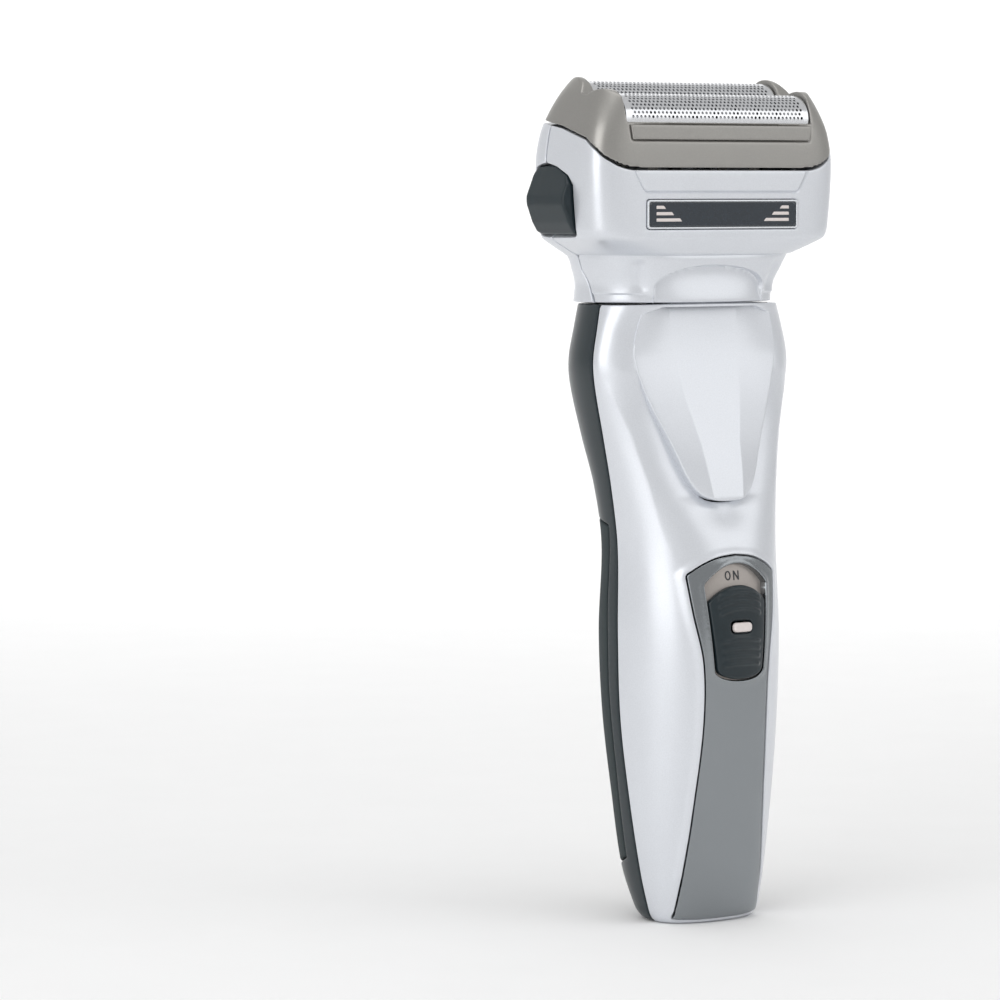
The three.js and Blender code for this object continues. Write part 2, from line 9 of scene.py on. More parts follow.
import bmesh
import bpy
import numpy as np
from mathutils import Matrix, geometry


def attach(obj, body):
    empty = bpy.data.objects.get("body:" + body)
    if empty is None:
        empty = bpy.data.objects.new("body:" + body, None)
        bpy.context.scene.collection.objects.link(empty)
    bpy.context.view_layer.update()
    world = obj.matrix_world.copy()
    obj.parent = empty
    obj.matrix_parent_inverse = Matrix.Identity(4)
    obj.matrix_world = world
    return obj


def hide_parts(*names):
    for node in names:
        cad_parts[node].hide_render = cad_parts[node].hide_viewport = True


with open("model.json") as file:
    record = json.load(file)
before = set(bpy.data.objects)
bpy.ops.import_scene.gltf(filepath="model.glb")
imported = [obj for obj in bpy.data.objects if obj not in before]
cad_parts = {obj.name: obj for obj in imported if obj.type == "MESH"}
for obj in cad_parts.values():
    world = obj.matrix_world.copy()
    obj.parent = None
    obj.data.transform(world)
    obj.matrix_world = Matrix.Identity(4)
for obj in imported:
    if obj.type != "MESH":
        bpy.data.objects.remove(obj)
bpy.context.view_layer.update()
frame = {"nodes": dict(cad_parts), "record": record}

MM = 0.001
GAP = 0.3
HANDLE_TOP = 119.5
HEAD_BOTTOM = 119.8
SHAFT_Y = 6.0

# Handle sections: height, half width, front, back, Y of the widest line.
HANDLE = [
    [0, 10.6, -10.4, 4.6, -4.2],
    [0.9, 11.7, -11.3, 5.5, -4.2],
    [2.5, 12.4, -11.9, 6.8, -4.1],
    [10, 13.7, -13.3, 10.4, -3.1],
    [25, 15.5, -15.0, 11.9, -1.7],
    [40, 16.5, -16.6, 13.8, -0.2],
    [56, 16.9, -17.0, 14.8, 0.1],
    [73, 17.0, -15.0, 13.2, 0.1],
    [84, 18.4, -12.5, 14.4, 0.2],
    [94, 20.2, -10.0, 17.8, 0.4],
    [104, 22.3, -7.8, 19.8, 0.3],
    [109, 22.8, -7.0, 19.6, 0.1],
    [115, 21.6, -7.2, 19.0, 0.5],
    [HANDLE_TOP, 20.3, -8.0, 18.8, 1.3],
]
FRONT_POWER, REAR_POWER = 2.3, 2.6

# Head sections: height, half width, front, back, superellipse power.
HEAD = [
    [HEAD_BOTTOM, 20.3, -8.0, 18.8, 2.6],
    [123.5, 20.1, -8.0, 18.0, 2.8],
    [126.5, 21.0, -8.3, 17.0, 3.2],
    [128.5, 21.6, -8.6, 16.6, 3.6],
    [129.0, 22.1, -8.8, 16.5, 3.9],
    [131.8, 27.1, -10.8, 14.9, 5.6],
    [132.4, 27.7, -11.0, 14.7, 6.0],
    [134.2, 28.2, -11.0, 14.5, 6.5],
    [146, 28.9, -11.0, 14.4, 7.0],
    [152, 28.2, -10.9, 14.2, 6.5],
    [156, 26.9, -10.5, 13.6, 5.6],
    [160, 25.0, -9.6, 12.6, 4.6],
    [163.4, 22.6, -8.4, 11.4, 3.8],
]

# Y of the seam between the head housings against height, and the height of the line under the head.
HEAD_SEAM = [[119, 3.0], [126, 6.6], [131, 7.0], [170, 7.0]]
NECK_TOP = 128.75

# Upper edge of the head housings seen from the side, as Y and height.
HEAD_RIM = [
    [-14, 145.2],
    [-10.8, 145.2],
    [-10, 146.8],
    [-8.4, 148.8],
    [-5.5, 150.9],
    [3, 153.2],
    [10, 154.3],
    [18, 154.8],
]

# Side button opening seen from the side: height and Y of its front and rear edges.
RELEASE_FRONT = [[132.2, 7], [132.4, -1.2], [133, -2], [142.3, -1.9], [144.1, -0.4], [145.8, 3.4], [146.6, 7]]
RELEASE_REAR = [[132.2, 7], [132.5, 10.2], [133.4, 11.5], [144.4, 11.6], [145.8, 10.8], [146.6, 7]]

# Side button seen from the front: X and height of its section.
RELEASE_SECTION = [
    (24.6, 132),
    (24.6, 147),
    (28.0, 147),
    (29.3, 143.6),
    (30.7, 140.2),
    (30.7, 138.6),
    (29.4, 135.2),
    (27.4, 132),
]

# Foils: half length, radius, and Y and height of each arch's middle; the cheeks rise round them.
FOIL_HALF_LENGTH = 21.6
FOIL_RADIUS = 4.8
FRONT_FOIL = (-4.6, 154.9)
REAR_FOIL = (5.7, 157.4)
CHEEK_RADIUS = 5.6

WINDOW = {"half": 17.8, "bottom": 134.0, "top": 139.5}

# Switch panel: its arched top as X and height, and its side as height and X.
PANEL_TOP = [[0, 71.6], [4, 71.1], [7.4, 69.8], [10.2, 68]]
PANEL_SIDE = [[0.9, 9.9], [11, 9.1], [21, 8.3], [39, 7.3], [51, 7.6], [60, 9.2], [68, 10.2]]

# The slot, the button in it and the light bar in the button: half width and heights.
SLOT = {"half": 7.2, "top": 70, "bottom": 47.6, "shoulder": 66.2}
BUTTON = {"half": 6.75, "top": 65.9, "bottom": 47.9, "shoulder": 62.8}
LENS = {"half": 2.1, "bottom": 57, "top": 58.8}
LENS_Y = -18.15

# Thumb shield against height: half width of its edge, Y of its middle, Y of its edge and half width
# of its flat centre.
SHIELD_EDGE = [[83.2, 6], [86, 8], [93, 10.6], [101, 14.4], [109, 17], [113.5, 16.6], [HANDLE_TOP, 14.8]]
SHIELD_RIDGE = [[82.4, -13.2], [88, -11.9], [93, -10.4], [102, -7.7], [110, -5.6], [HANDLE_TOP, -4.2]]
SHIELD_RIM = [
    [82.4, -12.0],
    [88, -10.4],
    [93, -9.1],
    [101, -6.8],
    [109, -5.4],
    [113.5, -5.4],
    [HANDLE_TOP, -5.9],
]
SHIELD_CENTRE = [[82, 3.5], [93, 4.6], [102, 6.6], [110, 7.5], [119, 8.0]]

# Distance from the middle of the crease beside the shield, against height.
WAIST_CREASE = [[68, 10.8], [76.4, 13.5], [85.3, 15.0], [94.6, 17.4], [104, 21.0]]

# Y of the grip's side edge against height.
GRIP_BOTTOM, GRIP_TOP = 12, 77
GRIP_EDGE = [[GRIP_BOTTOM, 1.2], [30, 2.0], [45, 3.4], [62, 3.6], [GRIP_TOP, 2.4]]


# ---- Curves and surfaces ------------------------------------------------------------------


def between(knots, t, column=1):
    """Smooth value at t between knots: a cubic with the slopes of the neighbouring knots."""
    table = np.asarray(knots, float)
    x, y = table[:, 0], table[:, column]
    low = np.maximum(np.arange(len(x)) - 1, 0)
    high = np.minimum(np.arange(len(x)) + 1, len(x) - 1)
    slope = (y[high] - y[low]) / (x[high] - x[low])
    i = np.clip(np.searchsorted(x, t) - 1, 0, len(x) - 2)
    span = x[i + 1] - x[i]
    u = np.clip((t - x[i]) / span, 0, 1)
    ease = u * u * (3 - 2 * u)
    rise = u * (1 - u) ** 2 * slope[i] - u * u * (1 - u) * slope[i + 1]
    return y[i] * (1 - ease) + y[i + 1] * ease + rise * span


def line(knots, t):
    """Straight-line value at t between knots."""
    table = np.asarray(knots, float)
    return np.interp(t, table[:, 0], table[:, 1])


def smoothstep(a, b, t):
    """Rises from 0 at a to 1 at b."""
    u = np.clip((t - a) / (b - a), 0, 1)
    return u * u * (3 - 2 * u)


def ring(z, a, front, back, seam, front_power, rear_power, t):
    """A level section: two half superellipses that meet on the line y = seam."""
    c, s = np.cos(t), np.sin(t)
    power = np.where(s < 0, front_power, rear_power)
    depth = np.where(s < 0, seam - front, back - seam)
    x = a * np.sign(c) * np.abs(c) ** (2 / power)
    y = seam + depth * np.sign(s) * np.abs(s) ** (2 / power)
    return np.stack([x, y, np.full_like(x, z)], -1)


def handle_ring(z, t, inset=0.0):
    a, front, back, seam = (float(between(HANDLE, z, k)) for k in (1, 2, 3, 4))
    return ring(z, a - inset, front + inset, back - inset, seam, FRONT_POWER, REAR_POWER, t)


def head_ring(z, t, inset=0.0):
    a, front, back, power = (float(between(HEAD, z, k)) for k in (1, 2, 3, 4))
    return ring(z, a - inset, front + inset, back - inset, (front + back) / 2, power, power, t)


class Skin:
    """A housing's outside as a table of points: u runs round it from its middle, v is height."""

    def __init__(self, section, low, high, rows, back=False, columns=901):
        turn = np.linspace(-math.pi, math.pi, 3601) + (math.pi / 2 if back else -math.pi / 2)
        self.v = np.linspace(low, high, rows)
        table, runs = [], []
        for z in self.v:
            points = section(z, turn)
            run = np.concatenate([[0], np.cumsum(np.linalg.norm(np.diff(points, axis=0), axis=1))])
            even = np.linspace(0, run[-1], columns)
            table.append(np.stack([np.interp(even, run, points[:, k]) for k in range(3)], -1))
            runs.append(run[-1])
        self.points = np.array(table)
        self.u = np.linspace(-0.5, 0.5, columns) * float(np.mean(runs))
        normal = np.cross(np.gradient(self.points, axis=1), np.gradient(self.points, axis=0))
        self.normals = normal / np.linalg.norm(normal, axis=2, keepdims=True)

    def look(self, table, u, v):
        i = np.clip((v - self.v[0]) / (self.v[1] - self.v[0]), 0, len(self.v) - 1.001)
        j = np.clip((u - self.u[0]) / (self.u[1] - self.u[0]), 0, len(self.u) - 1.001)
        a, b = i.astype(int), j.astype(int)
        p, q = (i - a)[:, None], (j - b)[:, None]
        low = table[a, b] * (1 - q) + table[a, b + 1] * q
        high = table[a + 1, b] * (1 - q) + table[a + 1, b + 1] * q
        return low * (1 - p) + high * p

    def place(self, u, v):
        normal = self.look(self.normals, u, v)
        return self.look(self.points, u, v), normal / np.linalg.norm(normal, axis=1, keepdims=True)

    def row(self, z):
        return self.points[int(np.clip(round((z - self.v[0]) / (self.v[1] - self.v[0])), 0, len(self.v) - 1))]

    def at_x(self, points):
        """Turns points of X and height on the front into u and v."""
        near = np.abs(self.u) < 0.24 * (self.u[-1] - self.u[0])
        return [(float(np.interp(x, self.row(z)[near, 0], self.u[near])), z) for x, z in points]

    def at_y(self, y, z, side):
        """The u at which the surface reaches y at height z, on the side of positive or negative u."""
        half = self.u >= 0 if side > 0 else self.u <= 0
        ys, us = self.row(z)[half, 1], self.u[half]
        order = np.argsort(ys)
        return float(np.interp(y, ys[order], us[order]))


class Plane:
    """A flat surface: u and v are measured from origin along two directions."""

    def __init__(self, origin, across, up):
        self.origin, self.across, self.up = (np.array(k, float) for k in (origin, across, up))
        self.normal = np.cross(self.across, self.up)

    def place(self, u, v):
        points = self.origin + u[:, None] * self.across + v[:, None] * self.up
        return points, np.repeat(self.normal[None], len(u), 0)


def facing_front(y):
    return Plane((0, y, 0), (1, 0, 0), (0, 0, 1))


def facing_up(z):
    return Plane((0, 0, z), (1, 0, 0), (0, 1, 0))


# ---- Outlines -----------------------------------------------------------------------------


def spread(loop, step):
    """The closed loop with points at even steps."""
    points = np.asarray(loop, float)
    closed = np.vstack([points, points[:1]])
    run = np.concatenate([[0], np.cumsum(np.linalg.norm(np.diff(closed, axis=0), axis=1))])
    even = np.linspace(0, run[-1], max(8, int(run[-1] / step)) + 1)[:-1]
    return np.stack([np.interp(even, run, closed[:, k]) for k in (0, 1)], -1)


def rounded(loop, passes=2):
    """Corner cutting on a closed loop."""
    points = np.asarray(loop, float)
    for _ in range(passes):
        after = np.roll(points, -1, 0)
        points = np.stack([points * 0.75 + after * 0.25, points * 0.25 + after * 0.75], 1).reshape(-1, 2)
    return points


def grown(loop, distance):
    """The closed loop moved outwards by distance."""
    points = spread(loop, 0.35)
    along = np.roll(points, -1, 0) - np.roll(points, 1, 0)
    out = np.stack([along[:, 1], -along[:, 0]], -1)
    out /= np.linalg.norm(out, axis=1, keepdims=True) + 1e-9
    area = np.sum(points[:, 0] * np.roll(points[:, 1], -1) - np.roll(points[:, 0], -1) * points[:, 1])
    return points + out * distance * np.sign(area)


def round_box(half, bottom, top, radius):
    """A box outline with round corners, centred on x = 0."""
    corners = [(half, bottom, -90), (half, top, 0), (-half, top, 90), (-half, bottom, 180)]
    loop = []
    for x, z, first in corners:
        cx = x - math.copysign(radius, x)
        cz = z - math.copysign(radius, z - (bottom + top) / 2)
        for turn in np.radians(np.linspace(first, first + 90, 7)):
            loop.append((cx + radius * math.cos(turn), cz + radius * math.sin(turn)))
    return loop


def mirrored(half):
    """A right half outline, from the top down, closed with its mirror image."""
    left = [(-x, z) for x, z in reversed(half) if x > 0]
    return [tuple(p) for p in half] + left


def inside(points, loops):
    """Which points lie inside the loops and outside the loops within those."""
    found = np.zeros(len(points), bool)
    for loop in loops:
        a, b = loop, np.roll(loop, -1, 0)
        rise = np.where(np.abs(b[:, 1] - a[:, 1]) < 1e-12, 1e-12, b[:, 1] - a[:, 1])
        slope = (b[:, 0] - a[:, 0]) / rise
        for start in range(0, len(points), 4000):
            p = points[start : start + 4000]
            crosses = (a[None, :, 1] > p[:, 1:]) != (b[None, :, 1] > p[:, 1:])
            reach = a[None, :, 0] + (p[:, 1:] - a[None, :, 1]) * slope[None]
            found[start : start + 4000] ^= np.sum(crosses & (p[:, :1] < reach), 1) % 2 == 1
    return found


def distance(points, loops):
    """How far each point is from the nearest loop."""
    best = np.full(len(points), 1e9)
    for loop in loops:
        a = loop
        d = np.roll(loop, -1, 0) - a
        size = np.sum(d * d, 1) + 1e-12
        for start in range(0, len(points), 4000):
            p = points[start : start + 4000, None]
            t = np.clip(np.sum((p - a) * d, 2) / size, 0, 1)
            away = p - a - t[..., None] * d
            best[start : start + 4000] = np.minimum(
                best[start : start + 4000], np.sqrt(np.min(np.sum(away * away, 2), 1))
            )
    return best


def beside(path, offsets, step):
    """Points along an open path and at offsets to both sides of it."""
    points = np.asarray(path, float)
    run = np.concatenate([[0], np.cumsum(np.linalg.norm(np.diff(points, axis=0), axis=1))])
    even = np.linspace(0, run[-1], max(3, int(run[-1] / step)))
    middle = np.stack([np.interp(even, run, points[:, k]) for k in (0, 1)], -1)
    along = np.gradient(middle, axis=0)
    along /= np.linalg.norm(along, axis=1, keepdims=True)
    out = np.stack([along[:, 1], -along[:, 0]], -1)
    return np.vstack([middle + out * k for k in offsets])


# ---- Meshes -------------------------------------------------------------------------------


def make(name, vertices, faces, angle=35):
    mesh = bpy.data.meshes.new(name)
    mesh.from_pydata((np.asarray(vertices) * MM).tolist(), [], [[int(k) for k in f] for f in faces])
    shape = bpy.data.objects.new(name, mesh)
    bpy.context.scene.collection.objects.link(shape)
    return smooth(shape, angle)


def smooth(shape, angle=35):
    work = bmesh.new()
    work.from_mesh(shape.data)
    bmesh.ops.recalc_face_normals(work, faces=work.faces)
    work.to_mesh(shape.data)
    work.free()
    shape.data.shade_smooth()
    shape.data.set_sharp_from_angle(angle=math.radians(angle))
    return shape


def settle(shape):
    """Applies the modifiers."""
    graph = bpy.context.evaluated_depsgraph_get()
    graph.update()
    done = bpy.data.meshes.new_from_object(shape.evaluated_get(graph))
    shape.modifiers.clear()
    shape.data = done
    return shape


def combine(shape, other, operation):
    change = shape.modifiers.new("combine", "BOOLEAN")
    change.object = other
    change.operation = operation
    change.solver = "MANIFOLD"
    settle(shape)
    bpy.data.objects.remove(other)
    return shape


def soften(shape, voxel, passes):
    """Even small faces with rounded edges."""
    remesh = shape.modifiers.new("even", "REMESH")
    remesh.mode = "VOXEL"
    remesh.voxel_size = voxel * MM
    round_off = shape.modifiers.new("round", "SMOOTH")
    round_off.factor = 0.5
    round_off.iterations = passes
    settle(shape)
    return smooth(shape, 80)


def prism(points, axis, low, high, name="prism"):
    """A bar of constant section: points are YZ for an X bar, XZ for a Y bar and XY for a Z bar."""
    outline = np.asarray(points, float)
    ends = []
    for reach in (low, high):
        ends.append(np.insert(outline, axis, reach, axis=1))
    n = len(outline)
    faces = [list(range(n)), list(range(n, 2 * n))]
    faces += [[i, (i + 1) % n, n + (i + 1) % n, n + i] for i in range(n)]
    return make(name, np.vstack(ends), faces)


def lofted(rings, name="loft"):
    n = len(rings[0])
    faces = [list(range(n)), list(range((len(rings) - 1) * n, len(rings) * n))]
    for r in range(len(rings) - 1):
        for i in range(n):
            j = (i + 1) % n
            faces.append([r * n + i, r * n + j, (r + 1) * n + j, (r + 1) * n + i])
    return make(name, np.vstack(rings), faces)


def patch(
    name, surface, outline, holes=(), spacing=0.5, roll=0.25, thickness=1.6, relief=None, lines=(), fine=0.2
):
    """A closed wall over an outline in u and v, with rounded edges and a relief on its outside.

    The relief is a function of u, v and the place in space, and gives a height. Lines are paths in
    u and v that get a denser mesh.
    """
    loops = [spread(outline, spacing * 0.8)] + [np.asarray(hole, float) for hole in holes]
    everything = [np.vstack(loops)]
    extra = []
    if roll:
        for loop in loops:
            along = np.roll(loop, -1, 0) - np.roll(loop, 1, 0)
            out = np.stack([along[:, 1], -along[:, 0]], -1)
            out /= np.linalg.norm(out, axis=1, keepdims=True) + 1e-9
            for share in (0.3, 0.65, 1.0):
                for sign in (1, -1):
                    points = loop + out * roll * share * sign
                    points = points[inside(points, loops)]
                    extra.append(points[distance(points, loops) > roll * share * 0.9])
    paths = [beside(path, [k * fine for k in (-2, -1, 0, 1, 2)], spacing * 0.7) for path in lines]
    for points in paths:
        points = points[inside(points, loops)]
        extra.append(points[distance(points, loops) > max(roll * 1.2, 0.15)])
    low, high = loops[0].min(0), loops[0].max(0)
    rows = np.arange(low[1], high[1], spacing * 0.866)
    columns = np.arange(low[0], high[0], spacing)
    grid = np.array([(u + (k % 2) * spacing / 2, v) for k, v in enumerate(rows) for u in columns])
    grid = grid[inside(grid, loops)]
    grid = grid[distance(grid, loops) > max(roll * 1.5, spacing * 0.45)]
    for path in lines:
        step = np.asarray(path, float)
        away = distance(grid, [np.vstack([step, step[::-1]])])
        grid = grid[away > fine * 2 + spacing * 0.4]
    extra.append(grid)
    more = np.vstack(extra)
    _, keep = np.unique(np.round(more / 0.07), axis=0, return_index=True)
    points = np.vstack(everything + [more[np.sort(keep)]])
    edges, first = [], 0
    for loop in loops:
        n = len(loop)
        edges += [(first + i, first + (i + 1) % n) for i in range(n)]
        first += n
    flat, _, faces, _, _, _ = geometry.delaunay_2d_cdt(points.tolist(), edges, [], 0, 1e-6)
    flat = np.array([tuple(p) for p in flat])
    faces = np.array([list(f) for f in faces if len(f) == 3])
    corner = flat[faces]
    area = np.cross(corner[:, 1] - corner[:, 0], corner[:, 2] - corner[:, 0])
    faces = np.where((area < 0)[:, None], faces[:, ::-1], faces)[np.abs(area) > 1e-9]
    faces = faces[inside(flat[faces].mean(1), loops)]
    used = np.unique(faces)
    renumber = np.full(len(flat), -1)
    renumber[used] = np.arange(len(used))
    flat, faces = flat[used], renumber[faces]
    place, normal = surface.place(flat[:, 0], flat[:, 1])
    height = np.zeros(len(flat)) if relief is None else relief(flat[:, 0], flat[:, 1], place)
    back = place + normal * (np.minimum(height, 0) - thickness)[:, None]
    if roll:
        edge = np.minimum(distance(flat, loops), roll)
        height = height - (roll - np.sqrt(np.maximum(roll**2 - (roll - edge) ** 2, 0)))
    front = place + normal * height[:, None]
    n = len(flat)
    pairs = {(a, b) for f in faces.tolist() for a, b in ((f[0], f[1]), (f[1], f[2]), (f[2], f[0]))}
    walls = [[b, a, a + n, b + n] for a, b in sorted(pairs) if (b, a) not in pairs]
    shape = make(name, np.vstack([front, back]), faces.tolist() + (faces[:, ::-1] + n).tolist() + walls)
    even = shape.modifiers.new("even", "WEIGHTED_NORMAL")
    even.mode = "FACE_AREA"
    even.keep_sharp = True
    return settle(shape)


# ---- Materials ----------------------------------------------------------------------------


def material(name, colour, roughness, metallic=0.0, grain=1500, vary=0.05, bump=0.0, uneven=0.05, **own):
    """Moulded, lacquered or plated stuff: a fine grain varies its colour, roughness and height."""
    made = bpy.data.materials.new(name)
    made.use_nodes = True
    nodes, links = made.node_tree.nodes, made.node_tree.links
    shader = nodes["Principled BSDF"]
    place = nodes.new("ShaderNodeTexCoord")
    fine = nodes.new("ShaderNodeTexNoise")
    fine.inputs["Scale"].default_value = grain
    fine.inputs["Detail"].default_value = 4
    links.new(place.outputs["Object"], fine.inputs["Vector"])
    broad = nodes.new("ShaderNodeTexNoise")
    broad.inputs["Scale"].default_value = 60
    broad.inputs["Detail"].default_value = 3
    links.new(place.outputs["Object"], broad.inputs["Vector"])
    both = nodes.new("ShaderNodeMath")
    both.operation = "MULTIPLY_ADD"
    links.new(fine.outputs["Fac"], both.inputs[0])
    both.inputs[1].default_value = 0.7
    share = nodes.new("ShaderNodeMath")
    share.operation = "MULTIPLY"
    share.inputs[1].default_value = 0.3
    links.new(broad.outputs["Fac"], share.inputs[0])
    links.new(share.outputs[0], both.inputs[2])
    tint = nodes.new("ShaderNodeValToRGB")
    tint.color_ramp.elements[0].position = 0.3
    tint.color_ramp.elements[1].position = 0.7
    tint.color_ramp.elements[0].color = [c * (1 - vary) for c in colour] + [1]
    tint.color_ramp.elements[1].color = [min(1, c * (1 + vary)) for c in colour] + [1]
    links.new(both.outputs[0], tint.inputs["Fac"])
    links.new(tint.outputs["Color"], shader.inputs["Base Color"])
    gloss = nodes.new("ShaderNodeMapRange")
    gloss.inputs["To Min"].default_value = max(0.02, roughness - uneven)
    gloss.inputs["To Max"].default_value = min(1, roughness + uneven)
    links.new(both.outputs[0], gloss.inputs["Value"])
    links.new(gloss.outputs["Result"], shader.inputs["Roughness"])
    shader.inputs["Metallic"].default_value = metallic
    for socket, value in own.items():
        shader.inputs[socket.replace("_", " ")].default_value = value
    if bump:
        height = nodes.new("ShaderNodeBump")
        height.inputs["Strength"].default_value = 0.6
        height.inputs["Distance"].default_value = bump * MM
        links.new(fine.outputs["Fac"], height.inputs["Height"])
        links.new(height.outputs["Normal"], shader.inputs["Normal"])
    return made


SILVER = material(
    "silver_lacquer",
    (0.7, 0.722, 0.762),
    0.34,
    0.5,
    4500,
    0.05,
    0.004,
    Coat_Weight=0.25,
    Coat_Roughness=0.12,
)
BLACK = material(
    "black_gloss",
    (0.012, 0.021, 0.026),
    0.3,
    0.0,
    900,
    0.12,
    0.0,
    Coat_Weight=0.05,
    Specular_IOR_Level=0.4,
)
RUBBER = material("grip_rubber", (0.020, 0.031, 0.034), 0.72, 0.0, 3800, 0.18, 0.05)
CHROME = material("smoked_chrome", (0.28, 0.298, 0.312), 0.2, 1.0, 2600, 0.03, 0.0, 0.03)
BEIGE = material("plate_lacquer", (0.42, 0.385, 0.36), 0.36, 0.5, 3000, 0.04, 0.003)
MILKY = material("light_guide", (0.72, 0.66, 0.64), 0.3, 0.0, 1200, 0.04, 0.0)
BRONZE = material("bronze_lacquer", (0.355, 0.346, 0.328), 0.36, 0.8, 4200, 0.07, 0.006)
FOIL = material("foil_steel", (0.74, 0.75, 0.77), 0.2, 1.0, 3000, 0.04, 0.0)
STEEL = material("machined_steel", (0.55, 0.56, 0.58), 0.28, 1.0, 2400, 0.08, 0.003)
TRIM = material("bright_trim", (0.72, 0.74, 0.77), 0.24, 0.7, 1800, 0.03, 0.0, 0.03)
GLASS = material("dark_window", (0.016, 0.024, 0.034), 0.12, 0.0, 700, 0.1, 0.0, 0.03, Coat_Weight=0.6)
CELL = material("cell_sleeve", (0.05, 0.20, 0.13), 0.35, 0.1, 900, 0.08, 0.0)
LAMINATE = material("board_laminate", (0.02, 0.10, 0.05), 0.45, 0.0, 1600, 0.2, 0.01)
NYLON = material("white_nylon", (0.70, 0.69, 0.66), 0.5, 0.0, 1500, 0.05, 0.01)
DARK = material("dark_nylon", (0.030, 0.034, 0.040), 0.5, 0.0, 1500, 0.12, 0.01)
COPPER = material("tinned_copper", (0.62, 0.36, 0.20), 0.3, 1.0, 2000, 0.1, 0.004)

SLOT_MATERIALS = {
    "silver_shell": SILVER,
    "black_shell": BLACK,
    "grip_rubber": RUBBER,
    "smoked_chrome": CHROME,
    "slot_beige": BEIGE,
    "indicator": MILKY,
    "bronze_frame": BRONZE,
    "blade_block": STEEL,
    "foil_steel": FOIL,
    "window_glass": GLASS,
    "bright_trim": TRIM,
    "machined_steel": STEEL,
    "cell_jacket": CELL,
    "board": LAMINATE,
    "nylon": NYLON,
    "dark_nylon": DARK,
    "copper": COPPER,
}


def fit(shape, body, slot, *nodes):
    """Paints a piece, makes it ride on its body and lets it stand for CAD nodes."""
    shape.data.materials.clear()
    shape.data.materials.append(SLOT_MATERIALS[slot])
    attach(shape, body)
    if nodes:
        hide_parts(*nodes)
    return shape


for part in frame["record"]["subparts"]:
    node = frame["nodes"][part["node"]]
    node.data.materials.clear()
    node.data.materials.append(SLOT_MATERIALS[part["material_slot"]])


# ---- Handle -------------------------------------------------------------------------------

handle_front = Skin(handle_ring, 0, HANDLE_TOP, 361)
handle_rear = Skin(handle_ring, 0, HANDLE_TOP, 361, back=True)
ring_angles = np.linspace(0, 2 * math.pi, 241)[:-1]

panel_half = [(x, float(between(PANEL_TOP, x))) for x in np.linspace(0, 10.2, 12)]
panel_half += [(float(between(PANEL_SIDE, z)), z) for z in np.linspace(67.3, 0.9, 80)]
panel_xz = rounded(mirrored(panel_half), 1)
shield_half = [(0, HANDLE_TOP - 0.3), (14.8, HANDLE_TOP - 0.3)]
shield_half += [(x, z) for z, x in reversed(SHIELD_EDGE[:-1])] + [(3.4, 82.0), (0, 81.8)]
shield_xz = rounded(mirrored(shield_half), 1)


def slot_outline(half, top, bottom, shoulder):
    """A flat arch on sides that draw in towards a rounded foot."""
    arch = [(half * k, shoulder + (top - shoulder) * (1 - k * k)) for k in np.linspace(1, -1, 25)]
    turns = np.linspace(math.pi, 2 * math.pi, 17)
    foot = [(half * 0.78 * math.cos(t), bottom + 2 + 2 * math.sin(t)) for t in turns]
    return rounded(spread(arch + foot, 0.8), 1)


def handle_relief(u, v, place):
    """The waist of the front shell: hollows beside the thumb shield, a crease and a raised panel rim."""
    x, z = np.abs(place[:, 0]), place[:, 2]
    crease = line([[66, 9.6], *WAIST_CREASE[:-1], [105, 21.8]], z)
    edge = line([[66, 0], [81, 1.0], *SHIELD_EDGE], z)
    share = np.clip((crease - x) / np.maximum(crease - edge, 0.5), 0, 1)
    depth = line([[69, 0], [76, 0.8], [83, 1.8], [90, 1.9], [98, 1.2], [107, 0.2], [HANDLE_TOP, 0]], z)
    fold = 0.4 * np.clip(1 - np.abs(z - 107) / 7, 0, 1)
    fold = fold * smoothstep(14, 18, x) * (1 - smoothstep(18.5, 22, x))
    hollow = fold - depth * share
    under = np.exp(-(((z - 80.5) / 3.0) ** 2)) * np.exp(-((x / 7.0) ** 2)) * 0.5
    rim = 0.32 * (1 - smoothstep(0.5, 1.9, distance(place[:, [0, 2]], [spread(panel_xz, 0.6)])))
    rim = np.where(inside(place[:, [0, 2]], [panel_xz]), 0.32, rim) * smoothstep(4, 10, z)
    return hollow - under + rim


def seam_loop(skin, low, high, edge, side_low, side_high):
    """A strip of a skin between two lines on its sides."""
    heights = np.linspace(low, high, 240)
    right = [(skin.at_y(float(edge(z)), z, side_high), z) for z in heights]
    left = [(skin.at_y(float(edge(z)), z, side_low), z) for z in heights[::-1]]
    return right + left


panel_hole = handle_front.at_x(grown(panel_xz, 0.2))
shield_hole = handle_front.at_x([(x, min(z, HANDLE_TOP - 0.12)) for x, z in grown(shield_xz, -0.25)])
front_loop = seam_loop(handle_front, 0, HANDLE_TOP, lambda z: between(HANDLE, z, 4) - GAP / 2, -1, 1)
creases = [handle_front.at_x([(side * x, z) for z, x in WAIST_CREASE]) for side in (-1, 1)]
front_shell = patch(
    "front_shell_visual",
    handle_front,
    front_loop,
    [spread(panel_hole, 0.4), spread(shield_hole, 0.4)],
    spacing=0.6,
    roll=0.3,
    thickness=1.5,
    relief=handle_relief,
    lines=creases,
    fine=0.3,
)
fit(front_shell, "handle", "silver_shell", "front_shell")

rear_loop = seam_loop(handle_rear, 0, HANDLE_TOP, lambda z: between(HANDLE, z, 4) + GAP / 2, -1, 1)


